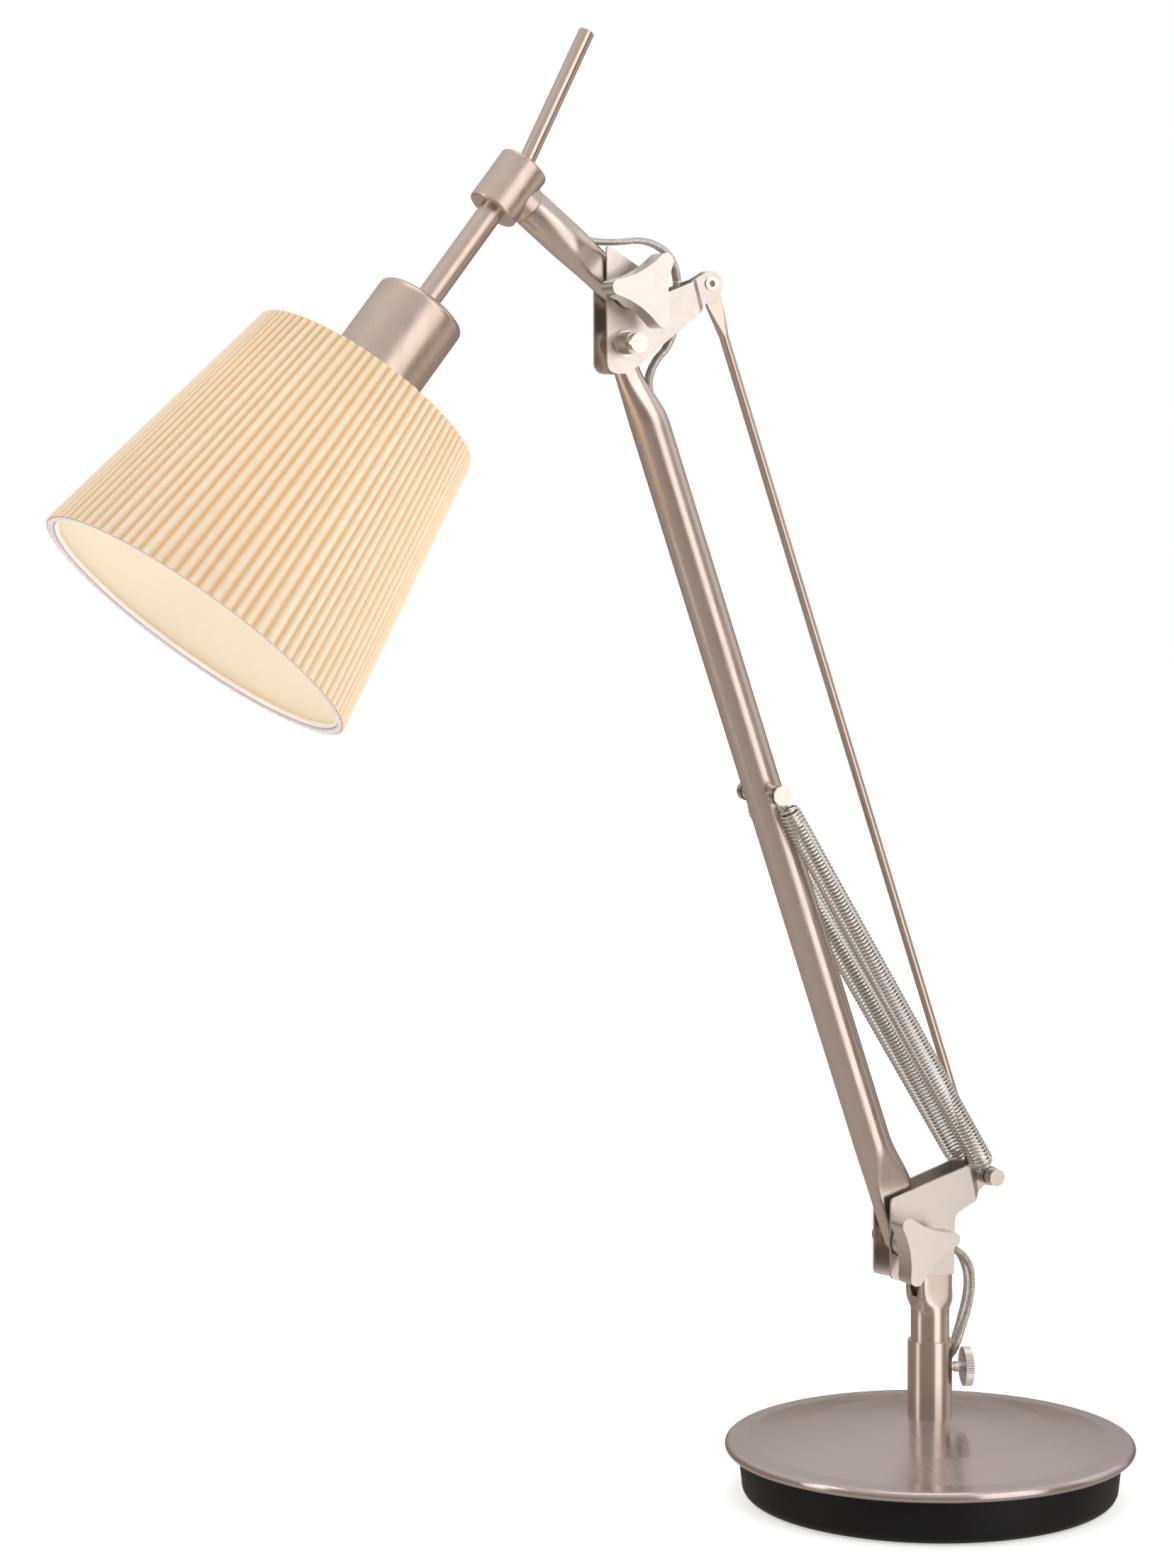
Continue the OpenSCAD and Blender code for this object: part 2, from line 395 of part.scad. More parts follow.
// Ring that clamps the shade's spider against the cup.
module socket_ring() color([0.85, 0.85, 0.83]) in_head() tube(23.4, 18.1, cup_bot - 3.8, cup_bot - 1.9);
module bulb_cap() color("silver") in_head() difference() {
    union() { translate([0, 0, cup_bot - 1]) cylinder(r = 13.2, h = 22); translate([0, 0, cup_bot + 21]) cylinder(r = 5, h = 4); }
    translate([0, 0, cup_bot - 2]) cylinder(r = 12, h = 21.6);
}
// Small round frosted bulb.
function bulb_line(t) = concat([[12.4 - t, cup_bot - 1.2], [13.4 - t, cup_bot - 7], [17 - t, cup_bot - 15]],
    [for (i = [3 : -1 : -8]) [0, cup_bot - 36] + (24 - t) * [cos(i * 10), sin(i * 10)]], [[0, cup_bot - 60 + t]]);
module bulb_glass() color([1, 0.97, 0.9]) in_head() rotate_extrude() polygon(concat(bulb_line(0), [for (i = [15 : -1 : 0]) bulb_line(1.1)[i]]));
// Three-armed spider between the socket ring and the shade's upper ring.
module spider_arm(a) rotate([0, 0, a]) translate([0, 0, cup_bot]) xz(-1.2, 1.2) polygon([[21, -1.8], [52.7, -1.8], [52.7, shade_top - 3 - cup_bot], [51.4, shade_top - 3 - cup_bot], [51.4, -0.4], [21, -0.4]]);
module shade_spider() color([0.85, 0.85, 0.83]) in_head() { tube(24, 18.1, cup_bot - 1.85, cup_bot - 0.3); for (a = [30, 150, 270]) translate([shade_n, 0, 0]) spider_arm(a); }
module shade_at() in_head() translate([shade_n, 0, 0]) children();
module shade_ring_top() color([0.85, 0.85, 0.83]) shade_at() translate([0, 0, shade_top - 2]) rotate_extrude() translate([shade_rt - pleat_t - 2.3, 0]) circle(r = 1, $fn = 16);
module shade_ring_bottom() color([0.85, 0.85, 0.83]) shade_at() translate([0, 0, shade_bot + 2]) rotate_extrude() translate([shade_rb - pleat_t - 3, 0]) circle(r = 1, $fn = 16);
module cone_shell(rt, rb, t, z0, z1) rotate_extrude() polygon([[rb - t, z0], [rb, z0], [rt, z1], [rt - t, z1]]);
// Translucent liner and the pleated cover around it.
module shade_liner() color([0.98, 0.94, 0.84]) shade_at() cone_shell(shade_rt - pleat_t - 0.4, shade_rb - pleat_t - 0.4, 0.7, shade_bot + 1, shade_top - 1);
module shade_pleats() color([0.93, 0.82, 0.62]) shade_at() cone_shell(shade_rt, shade_rb, pleat_t, shade_bot + 1, shade_top - 1);
module shade_trim_top() color([0.9, 0.87, 0.82]) shade_at() tube(shade_rt, shade_rt - pleat_t, shade_top - 0.98, shade_top);
module shade_trim_bottom() color([0.86, 0.83, 0.8]) shade_at() tube(shade_rb, shade_rb - pleat_t, shade_bot, shade_bot + 0.98);

// ---------- leads ----------
lead_r = 2.2;
route_elbow = [for (q = [[-201, 615], [-194, 615], [-188.6, 613.6], [-182, 612.9], [-175, 612.8], [-168, 613.2], [-161, 613.8], [-154, 612.8], [-148, 610], [-144, 606.2], [-141.4, 601], [-140.2, 595.4]]) [q[0], 0, q[1]]];
route_knuckle = [for (q = [[-140.2, 595], [-140.2, 588], [-140.8, 580], [-142.4, 572], [-146, 564.4], [-151, 559], [-154.6, 552.6], [-155.4, 546.4], [-153.8, 539.4], [-151.2, 532]]) [q[0], 0, q[1]]];
route_lower = [for (q = [[-20, 156], [-15, 148], [-10, 140], [-5, 132.5], [1, 127.6], [7, 125.4], [13, 123.4]]) [q[0], 0, q[1]]];
route_post = [[13.3, 0, 123.2], [18.6, 0.3, 118.6], [22.2, 0.6, 112], [23.4, 1, 104.6], [22.8, 1.4, 97], [20.6, 1.5, 88.6], [17.4, 1.2, 80], [14.6, 0.8, 73.4], [13.6, 3.4, 69.4], [13.4, 7, 66.2], [13.2, 9.8, 64.5], [11.6, 11.6, 63.3], [9.9, 11.0, 62.6], [8.4, 9.33, 62.5], [7.1, 7.885, 62.5]];
module lead_elbow() color([0.72, 0.71, 0.68]) sweep(smooth(route_elbow, 2), lead_r);
module lead_knuckle() color([0.72, 0.71, 0.68]) sweep(smooth(route_knuckle, 2), lead_r);
module lead_arm() color([0.72, 0.71, 0.68]) in_arm() translate([arm_off + 5.5, 0, 27]) cylinder(r = lead_r, h = arm_len - 68);
module lead_lower() color([0.72, 0.71, 0.68]) sweep(smooth(route_lower, 2), lead_r);
module lead_post() color([0.72, 0.71, 0.68]) sweep(smooth(route_post, 2), lead_r);

base_pad();
base_body();
base_weight();
base_cover();
base_bolt();
base_nut();
cord_bush();
post_sleeve();
sleeve_grommet();
thumb_screw();
post();
lower_plate_front();
lower_plate_back();
lower_pivot_bolt();
lower_washers();
lower_spring_pin();
lower_knob();
arm_tube();
arm_bushes();
upper_spring_pin();
spring_hooks_upper();
spring_front();
spring_back();
spring_hooks_lower();
spring_end_plugs();
link_rod();
elbow_plate_front();
elbow_plate_back();
elbow_pivot_pin();
elbow_pivot_nut();
link_eyelet();
tilt_bolt();
tilt_washers();
elbow_knob();
wrist_tube();
wrist_bush();
holder();
swivel_screw();
conduit();
handle_rod();
lamp_cup();
lamp_socket();
socket_shell();
socket_ring();
bulb_cap();
bulb_glass();
shade_spider();
shade_ring_top();
shade_ring_bottom();
shade_liner();
shade_pleats();
shade_trim_top();
shade_trim_bottom();
lead_elbow();
lead_knuckle();
lead_arm();
lead_lower();
lead_post();
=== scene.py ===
import math
import random

import bmesh
import bpy
import numpy as np
from mathutils import Matrix, Vector


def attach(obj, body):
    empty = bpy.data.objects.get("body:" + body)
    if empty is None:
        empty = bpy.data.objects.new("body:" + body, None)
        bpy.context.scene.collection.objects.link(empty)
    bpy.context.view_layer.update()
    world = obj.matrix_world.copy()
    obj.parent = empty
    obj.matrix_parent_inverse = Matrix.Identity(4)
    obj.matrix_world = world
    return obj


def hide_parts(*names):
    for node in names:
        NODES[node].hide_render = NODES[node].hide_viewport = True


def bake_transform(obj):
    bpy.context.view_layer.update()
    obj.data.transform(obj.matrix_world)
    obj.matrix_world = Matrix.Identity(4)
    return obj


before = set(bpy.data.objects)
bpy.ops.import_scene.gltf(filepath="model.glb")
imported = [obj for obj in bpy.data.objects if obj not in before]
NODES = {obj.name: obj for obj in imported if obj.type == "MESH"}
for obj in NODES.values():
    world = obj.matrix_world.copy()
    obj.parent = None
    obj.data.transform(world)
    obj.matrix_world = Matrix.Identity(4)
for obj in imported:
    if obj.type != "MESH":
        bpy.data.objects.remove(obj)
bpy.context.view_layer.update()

scene = bpy.context.scene
RNG = random.Random(11)
pi = math.pi

# ------------------------------------------------------------------ numbers repeated from the CAD, in metres
MM = 0.001
ARM_LEN, ARM_LEAN = 460.0, math.radians(19.15)
A = np.array([-20.3, 0.0, 131.5])
AB = np.array([47.4, 0.0, 28.4])
B = A + AB
UP_ARM = np.array([-math.sin(ARM_LEAN), 0.0, math.cos(ARM_LEAN)])
SIDE_ARM = np.array([math.cos(ARM_LEAN), 0.0, math.sin(ARM_LEAN)])
C = A + ARM_LEN * UP_ARM
D = C + AB
E = C + np.array([1.9, 0.0, 24.0])
ARM_OFF = 3.4
PIN_S = 234.0
M = A + PIN_S * UP_ARM + ARM_OFF * SIDE_ARM
HEAD = math.radians(51.4)
WRIST_LEN = 74.0
UP_WRIST = np.array([-math.sin(HEAD), 0.0, math.cos(HEAD)])
K = E + WRIST_LEN * UP_WRIST
HEAD_AX = np.array([math.cos(HEAD), 0.0, math.sin(HEAD)])  # the head's own +Z, from the shade to the handle
HEAD_X = np.array([math.sin(HEAD), 0.0, -math.cos(HEAD)])  # the head's own +X
HEAD_Y = np.array([0.0, 1.0, 0.0])
CUP_BOT = -127.0
SHADE_TOP, SHADE_H, SHADE_RT, SHADE_RB, PLEAT_T, SHADE_N = -116.9, 133.4, 57.9, 80.4, 1.9, 1.7
SHADE_BOT = SHADE_TOP - SHADE_H
SHADE_C = K + SHADE_N * HEAD_X
SPRING_LO, SPRING_HI, SPRING_END, SPRING_D = 11.5, 15.6, 11.0, 12.0
LOW_IN, UP_IN, PLATE_T, GAP = 7.1, 5.7, 1.5, 0.3


# ------------------------------------------------------------------ camera
cam_data = bpy.data.cameras.new("camera")
cam = bpy.data.objects.new("camera", cam_data)
scene.collection.objects.link(cam)
cam_data.sensor_fit = "AUTO"
cam_data.sensor_width = 36.0
cam_data.lens = 5393.24 / 2211.0 * 36.0
cam_data.clip_start = 0.05
cam_data.clip_end = 50.0
r_, u_, f_ = (
    Vector((0.89500828, -0.44603048, -0.00412165)),
    Vector((0.04170932, 0.07448726, 0.99634933)),
    Vector((0.44409516, 0.89191281, -0.08527034)),
)
cam.matrix_world = Matrix(
    (
        (r_.x, u_.x, -f_.x, -0.980487),
        (r_.y, u_.y, -f_.y, -1.591116),
        (r_.z, u_.z, -f_.z, 0.514024),
        (0, 0, 0, 1),
    )
)
scene.camera = cam


# ------------------------------------------------------------------ material helpers
class Mat:
    """A small builder for node materials."""

    def __init__(self, name):
        self.m = bpy.data.materials.new(name)
        self.m.use_nodes = True
        self.t = self.m.node_tree
        self.t.nodes.clear()
        self.out = self.t.nodes.new("ShaderNodeOutputMaterial")

    def n(self, kind, **kw):
        node = self.t.nodes.new(kind)
        for k, v in kw.items():
            if k.startswith("in_"):
                node.inputs[k[3:].replace("_", " ")].default_value = v
            else:
                setattr(node, k, v)
        return node

    def link(self, a, b):
        self.t.links.new(a, b)

    def math(self, op, a, b=None, c=None, clamp=False):
        node = self.n("ShaderNodeMath", operation=op, use_clamp=clamp)
        for i, v in enumerate((a, b, c)):
            if v is None:
                continue
            if hasattr(v, "is_output"):
                self.link(v, node.inputs[i])
            else:
                node.inputs[i].default_value = v
        return node.outputs[0]

    def ramp(self, fac, stops, interpolation="LINEAR"):
        node = self.n("ShaderNodeValToRGB")
        cr = node.color_ramp
        cr.interpolation = interpolation
        while len(cr.elements) < len(stops):
            cr.elements.new(0.5)
        for el, (p, col) in zip(cr.elements, stops):
            el.position = p
            el.color = tuple(col) + ((1.0,) if len(col) == 3 else ())
        self.link(fac, node.inputs["Fac"])
        return node.outputs["Color"]

    def coords(self, rot=(0, 0, 0), scale=(1, 1, 1), loc=(0, 0, 0)):
        tc = self.n("ShaderNodeTexCoord")
        mp = self.n("ShaderNodeMapping")
        mp.inputs["Rotation"].default_value = rot
        mp.inputs["Scale"].default_value = scale
        mp.inputs["Location"].default_value = loc
        self.link(tc.outputs["Object"], mp.inputs["Vector"])
        return mp.outputs["Vector"]

    def noise(self, vec, scale, detail=3.0, rough=0.5, out="Fac", dist=0.0):
        node = self.n("ShaderNodeTexNoise")
        node.inputs["Scale"].default_value = scale
        node.inputs["Detail"].default_value = detail
        node.inputs["Roughness"].default_value = rough
        node.inputs["Distortion"].default_value = dist
        self.link(vec, node.inputs["Vector"])
        return node.outputs[out]

    def mapr(self, v, a, b, c, d):
        node = self.n("ShaderNodeMapRange")
        for k, x in zip(("From Min", "From Max", "To Min", "To Max"), (a, b, c, d)):
            node.inputs[k].default_value = x
        self.link(v, node.inputs["Value"])
        return node.outputs["Result"]

    def bump(self, height, strength, distance, normal=None):
        node = self.n("ShaderNodeBump")
        node.inputs["Strength"].default_value = strength
        node.inputs["Distance"].default_value = distance
        self.link(height, node.inputs["Height"])
        if normal is not None:
            self.link(normal, node.inputs["Normal"])
        return node.outputs["Normal"]

    def mix(self, fac, a, b):
        node = self.n("ShaderNodeMix", data_type="RGBA")
        for s, v in ((node.inputs[0], fac), (node.inputs[6], a), (node.inputs[7], b)):
            if hasattr(v, "is_output"):
                self.link(v, s)
            else:
                s.default_value = v if not isinstance(v, tuple) or len(v) == 4 else tuple(v) + (1.0,)
        return node.outputs[2]

    def bsdf(self, **kw):
        node = self.n("ShaderNodeBsdfPrincipled")
        for k, v in kw.items():
            key = k.replace("_", " ")
            s = node.inputs[key]
            if hasattr(v, "is_output"):
                self.link(v, s)
            else:
                s.default_value = tuple(v) + (1.0,) if isinstance(v, tuple) and len(v) == 3 and s.type == "RGBA" else v
        self.link(node.outputs[0], self.out.inputs["Surface"])
        return node


def metal(name, color, rough, rot=(0, 0, 0), stretch=(1, 1, 0.03), grain=900.0, bump=0.012, vary=0.03, blotch=60.0, aniso=0.0, tangent=None):
    """Plated steel with a fine brushed grain. rot turns the texture so that its Z runs with the grain."""
    b = Mat(name)
    v = b.coords(rot=rot)
    vs = b.coords(rot=rot, scale=stretch)
    g = b.noise(vs, grain, 4.0, 0.65)
    g2 = b.noise(vs, grain * 0.23, 2.0, 0.6)
    big = b.noise(v, blotch, 3.0, 0.55)
    lo = tuple(c * (1 - vary) for c in color)
    hi = tuple(min(1.0, c * (1 + vary)) for c in color)
    fac = b.math("ADD", b.math("MULTIPLY", g, 0.55), b.math("MULTIPLY", big, 0.45))
    col = b.ramp(fac, [(0.3, lo), (0.7, hi)])
    ro = b.math("ADD", b.mapr(g2, 0.25, 0.75, rough - 0.05, rough + 0.05), b.mapr(big, 0.3, 0.7, -0.03, 0.03))
    nrm = b.bump(g, bump, 0.0002)
    sh = b.bsdf(Base_Color=col, Metallic=1.0, Roughness=ro, Normal=nrm)
    if aniso:
        sh.inputs["Anisotropic"].default_value = aniso
        sh.inputs["Anisotropic Rotation"].default_value = 0.25
        if tangent is not None:
            tg = b.n("ShaderNodeTangent", direction_type="RADIAL", axis=tangent)
            b.link(tg.outputs[0], sh.inputs["Tangent"])
    return b.m


NICKEL = (0.60, 0.525, 0.485)
NICKEL_L = (0.66, 0.615, 0.585)
ROT_ARM = (0, ARM_LEAN, 0)
ROT_WRIST = (0, HEAD, 0)
ROT_HEAD = (0, HEAD - pi / 2, 0)
m_base = metal("nickel_spun_base", (0.50, 0.435, 0.42), 0.22, stretch=(1, 1, 1), grain=1400.0, bump=0.004, vary=0.02, aniso=0.7, tangent="Z")
m_sleeve = metal("nickel_tube_upright", NICKEL, 0.25)
m_arm = metal("nickel_tube_arm", NICKEL, 0.27, rot=ROT_ARM)
m_wrist = metal("nickel_tube_wrist", NICKEL, 0.27, rot=ROT_WRIST)
m_cup = metal("nickel_tube_head", (0.57, 0.475, 0.42), 0.31, rot=ROT_HEAD, grain=1100.0, vary=0.09)
m_plate = metal("nickel_plate", NICKEL_L, 0.34, stretch=(1, 1, 1), grain=1600.0, bump=0.03, vary=0.04)
m_knob = metal("nickel_knob", (0.655, 0.615, 0.59), 0.30, stretch=(1, 1, 1), grain=1500.0, bump=0.02, vary=0.04)
m_rod = metal("nickel_rod", (0.55, 0.47, 0.41), 0.2, rot=ROT_HEAD, vary=0.05)
m_link = metal("nickel_link", (0.57, 0.5, 0.44), 0.22, rot=ROT_ARM, vary=0.05)
m_spring = metal("spring_wire", (0.62, 0.6, 0.57), 0.2, stretch=(1, 1, 1), grain=600.0, bump=0.03, vary=0.08)
m_pin = metal("nickel_pin", (0.72, 0.66, 0.6), 0.24, stretch=(1, 1, 1), grain=1500.0, bump=0.05)


def plain(name, color, rough, metallic=0.0, bump=0.1, scale=900.0, dist=0.0003, vary=0.08, **kw):
    b = Mat(name)
    v = b.coords()
    g = b.noise(v, scale, 4.0, 0.6)
    big = b.noise(v, scale * 0.06, 3.0, 0.5)
    lo = tuple(c * (1 - vary) for c in color)
    hi = tuple(min(1.0, c * (1 + vary)) for c in color)
    col = b.ramp(b.math("ADD", b.math("MULTIPLY", g, 0.5), b.math("MULTIPLY", big, 0.5)), [(0.3, lo), (0.7, hi)])
    b.bsdf(Base_Color=col, Metallic=metallic, Roughness=b.mapr(big, 0.3, 0.7, rough - 0.04, rough + 0.04), Normal=b.bump(g, bump, dist), **kw)
    return b.m


m_black = plain("base_black", (0.0035, 0.0038, 0.0045), 0.5, bump=0.2, scale=700.0, dist=0.0003, vary=0.3, Specular_IOR_Level=0.22)
m_pad = plain("pad_felt", (0.02, 0.02, 0.02), 0.95, bump=0.6, scale=1500.0)
m_plastic = plain("black_plastic", (0.015, 0.015, 0.016), 0.45)
m_nylon = metal("bronze_ring", (0.52, 0.40, 0.31), 0.3, stretch=(1, 1, 1), grain=900.0, bump=0.02)
m_washer = plain("fibre_washer", (0.05, 0.045, 0.04), 0.7)
m_iron = plain("cast_iron", (0.09, 0.09, 0.09), 0.75, metallic=0.6, bump=0.6, scale=300.0)
m_porcelain = plain("porcelain", (0.82, 0.8, 0.75), 0.2, bump=0.03)
m_brass = plain("brass", (0.72, 0.5, 0.2), 0.3, metallic=1.0, bump=0.05)
m_alu = plain("aluminium", (0.7, 0.7, 0.72), 0.35, metallic=1.0, bump=0.08)
m_white = plain("white_lacquer", (0.8, 0.78, 0.72), 0.35, bump=0.05)


def give(mat, *names):
    for n in names:
        o = NODES[n]
        o.data.materials.clear()
        o.data.materials.append(mat)


give(m_pad, "base_pad")
give(m_black, "base_body")
give(m_iron, "base_weight")
give(m_base, "base_cover")
give(m_alu, "base_bolt", "base_nut", "bulb_cap")
give(m_plastic, "cord_bush", "sleeve_grommet")
give(m_sleeve, "post_sleeve", "post")
give(m_knob, "thumb_screw", "lower_knob", "elbow_knob")
give(m_plate, "lower_plate_front", "lower_plate_back", "elbow_plate_front", "elbow_plate_back", "holder")
give(m_pin, "lower_pivot_bolt", "lower_spring_pin", "upper_spring_pin", "elbow_pivot_pin", "elbow_pivot_nut", "link_eyelet", "tilt_bolt", "spring_end_plugs")
give(m_washer, "lower_washers", "tilt_washers")
give(m_arm, "arm_tube")
give(m_nylon, "arm_bushes", "wrist_bush")
give(m_spring, "spring_front", "spring_back", "spring_hooks_upper", "spring_hooks_lower")
give(m_link, "link_rod")
give(m_wrist, "wrist_tube")
give(m_brass, "swivel_screw", "socket_shell")
give(m_cup, "lamp_cup", "conduit", "holder")
give(m_rod, "handle_rod")
give(m_porcelain, "lamp_socket", "socket_ring")
give(m_white, "shade_spider", "shade_ring_top", "shade_ring_bottom")


# ------------------------------------------------------------------ mesh helpers
def obj_from(name, verts, faces, mat, smooth=True, sharp=35.0):
    me = bpy.data.meshes.new(name)
    me.from_pydata([tuple(float(c) * MM for c in v) for v in verts], [], faces)
    me.validate()
    me.update()
    bm = bmesh.new()
    bm.from_mesh(me)
    bmesh.ops.recalc_face_normals(bm, faces=bm.faces)
    if smooth:
        lim = math.radians(sharp)
        for f in bm.faces:
            f.smooth = True
        for e in bm.edges:
            if len(e.link_faces) == 2 and e.calc_face_angle(0.0) > lim:
                e.smooth = False
    bm.to_mesh(me)
    bm.free()
    o = bpy.data.objects.new(name, me)
    scene.collection.objects.link(o)
    me.materials.append(mat)
    return o


def sweep(path, section, closed=True, scale=None, up=None):
    """Closed tube along path. section is a list of (a, b) in the plane across the path; up fixes its second direction."""
    p = np.asarray(path, float)
    n, k = len(p), len(section)
    t = np.gradient(p, axis=0)
    t /= np.linalg.norm(t, axis=1)[:, None]
    ref = np.array((0.0, 1.0, 0.0) if up is None else (up if np.ndim(up) == 1 else up[0]), float)
    verts = []
    u = ref - ref.dot(t[0]) * t[0]
    u /= np.linalg.norm(u)
    for i in range(n):
        if up is not None:
            w = np.array(up if np.ndim(up) == 1 else up[i], float)
            u = w - w.dot(t[i]) * t[i]
        else:
            u = u - u.dot(t[i]) * t[i]
        u = u / np.linalg.norm(u)
        v = np.cross(t[i], u)
        s = 1.0 if scale is None else scale[i]
        for a, b in section:
            verts.append(p[i] + s * (a * u + b * v))
    faces = []
    for i in range(n - 1):
        for j in range(k):
            a, b = i * k + j, i * k + (j + 1) % k
            faces.append((a, b, b + k, a + k))
    faces.append(tuple(range(k - 1, -1, -1)))
    faces.append(tuple((n - 1) * k + j for j in range(k)))
    return verts, faces


def circle(r, k=16):
    return [(r * math.cos(2 * pi * j / k), r * math.sin(2 * pi * j / k)) for j in range(k)]


def spline(points, m):
    """Catmull-Rom through points."""
    p = [np.array(q, float) for q in points]
    p = [2 * p[0] - p[1]] + p + [2 * p[-1] - p[-2]]
    out = []
    for i in range(1, len(p) - 2):
        a, b, c, d = p[i - 1], p[i], p[i + 1], p[i + 2]
        for k in range(m):
            t = k / m
            out.append(0.5 * (2 * b + (c - a) * t + (2 * a - 5 * b + 4 * c - d) * t * t + (3 * b - a - 3 * c + d) * t**3))
    out.append(p[-2])
    return out


def ease(t):
    t = min(1.0, max(0.0, t))
    return t * t * (3 - 2 * t)


def head_pt(x, y, z):
    return K + x * HEAD_X + y * HEAD_Y + z * HEAD_AX


# ------------------------------------------------------------------ shade
SHADE_AXIS_ROT = ROT_HEAD


def shade_material():
    b = Mat("pleated_cloth_painted_glow")
    at = b.n("ShaderNodeAttribute", attribute_name="fold")
    ax = b.n("ShaderNodeAttribute", attribute_name="along")
    v = b.coords(rot=SHADE_AXIS_ROT)
    weave = b.noise(b.coords(rot=SHADE_AXIS_ROT, scale=(1, 1, 0.35)), 1500.0, 3.0, 0.7)
    mott = b.noise(v, 240.0, 3.0, 0.6)
    f = b.math("ADD", at.outputs["Fac"], b.mapr(mott, 0.2, 0.8, -0.10, 0.10), clamp=True)
    # painted glow: the cloth's emission stands in for the bulb's light shining through the pleats
    # light through one layer in the valleys is deeper in colour than through the ridges
    glow = b.ramp(f, [(0.0, (0.78, 0.37, 0.10)), (0.35, (0.78, 0.44, 0.155)), (0.7, (0.78, 0.57, 0.30)), (1.0, (0.78, 0.66, 0.44))])
    # painted shade: the base colour is darker and more orange in the pleat valleys
    body = b.ramp(f, [(0.0, (0.46, 0.33, 0.19)), (1.0, (0.60, 0.53, 0.43))])
    # painted glow: the emission strength changes along the shade's height, weakest at the bottom edge and strongest
    # three quarters of the way up
    strength = b.ramp(ax.outputs["Fac"], [(0.0, (0.31, 0.31, 0.31)), (0.35, (0.37, 0.37, 0.37)), (0.75, (0.41, 0.41, 0.41)), (1.0, (0.34, 0.34, 0.34))])
    pr = b.bsdf(Base_Color=body, Roughness=0.8, Normal=b.bump(weave, 0.25, 0.0002))
    pr.inputs["Sheen Weight"].default_value = 0.25
    pr.inputs["Specular IOR Level"].default_value = 0.2
    b.link(glow, pr.inputs["Emission Color"])
    b.link(b.math("MULTIPLY", strength, b.mapr(weave, 0.2, 0.8, 0.86, 1.0)), pr.inputs["Emission Strength"])
    return b.m


def liner_material():
    b = Mat("shade_lining_painted_glow")
    ax = b.n("ShaderNodeAttribute", attribute_name="along")
    v = b.coords(rot=SHADE_AXIS_ROT)
    w = b.noise(v, 900.0, 3.0, 0.6)
    # painted glow: the lining's emission stands in for the bulb's light on the inside of the shade, with a painted
    # orange band at the lower edge
    glow = b.ramp(ax.outputs["Fac"], [(0.0, (0.95, 0.62, 0.28)), (0.035, (0.95, 0.76, 0.48)), (0.12, (0.95, 0.86, 0.68)), (1.0, (0.97, 0.88, 0.70))])
    pr = b.bsdf(Base_Color=(0.62, 0.57, 0.49), Roughness=0.6, Normal=b.bump(w, 0.1, 0.0001))
    b.link(glow, pr.inputs["Emission Color"])
    pr.inputs["Emission Strength"].default_value = 0.20
    return b.m


m_pleat = shade_material()
m_liner = liner_material()
m_trim = plain("woven_edging", (0.60, 0.565, 0.60), 0.85, bump=0.4, scale=1200.0)
give(m_pleat, "shade_pleats")
give(m_liner, "shade_liner")
give(m_trim, "shade_trim_top", "shade_trim_bottom")


def set_attr(o, name, values):
    a = o.data.attributes.new(name, "FLOAT", "POINT")
    a.data.foreach_set("value", np.asarray(values, np.float32))


def make_pleats():
    n_pleats, per, rows = 84, 12, 28
    cnt = n_pleats * per
    # uneven widths and depths, the same at each run
    w = [1.0 + RNG.uniform(-0.13, 0.13) for _ in range(n_pleats)]
    tot = sum(w)
    start, acc = [], 0.0
    for x in w:
        start.append(acc / tot)
        acc += x
    start.append(1.0)
    depth = [RNG.uniform(0.88, 1.0) for _ in range(n_pleats)]
    lean = [RNG.uniform(-0.06, 0.06) for _ in range(n_pleats)]
    verts, faces, fold, along = [], [], [], []
    t_wall = 0.35
    for side in (0, 1):
        for r in range(rows + 1):
            s = r / rows
            z = SHADE_BOT + 0.15 + (SHADE_H - 0.3) * s
            R = SHADE_RB + (SHADE_RT - SHADE_RB) * s - 0.05
            for p in range(n_pleats):
                for j in range(per):
                    x = j / per
                    # rounded ridge, narrower valley
                    prof = 0.5 + 0.5 * math.cos(2 * pi * (x - 0.5))
                    prof = prof**0.62
                    ph = start[p] + (start[p + 1] - start[p]) * (x + lean[p] * math.sin(pi * s) * x * (1 - x) * 4)
                    ang = 2 * pi * ph
                    dd = PLEAT_T - t_wall - 0.15
                    d2 = depth[p] if 0.02 < x < 0.98 else 1.0
                    rr = R - dd * (1 - prof * d2)
                    if side:
                        rr -= t_wall
                    verts.append(head_pt(SHADE_N + rr * math.cos(ang), rr * math.sin(ang), z))
                    fold.append(prof * d2)
                    along.append(s)
    ring = cnt
    base2 = (rows + 1) * ring
    for side in (0, 1):
        o = base2 * side
        for r in range(rows):
            for j in range(ring):
                a, b = o + r * ring + j, o + r * ring + (j + 1) % ring
                q = (a, b, b + ring, a + ring)
                faces.append(q if side == 0 else q[::-1])
    for r, flip in ((0, True), (rows, False)):
        for j in range(ring):
            a, b = r * ring + j, r * ring + (j + 1) % ring
            q = (a, b, b + base2, a + base2)
            faces.append(q[::-1] if flip else q)
    o = obj_from("shade_pleated_cover", verts, faces, m_pleat, sharp=60.0)
    set_attr(o, "fold", fold)
    set_attr(o, "along", along)
    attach(o, "head")
    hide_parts("shade_pleats", "shade_trim_top")
    return o


def make_lathe(name, profile, mat, centre=SHADE_N, seg=256, axis=True):
    """profile: closed list of (radius, height) along the head's axis."""
    verts, faces = [], []
    k = len(profile)
    for i in range(seg):
        a = 2 * pi * i / seg
        for r, z in profile:
            verts.append(head_pt(centre + r * math.cos(a), r * math.sin(a), z))
    for i in range(seg):
        for j in range(k):
            a, b = i * k + j, i * k + (j + 1) % k
            c, d = ((i + 1) % seg) * k + (j + 1) % k, ((i + 1) % seg) * k + j
            faces.append((a, b, c, d))
    return obj_from(name, verts, faces, mat, sharp=40.0)


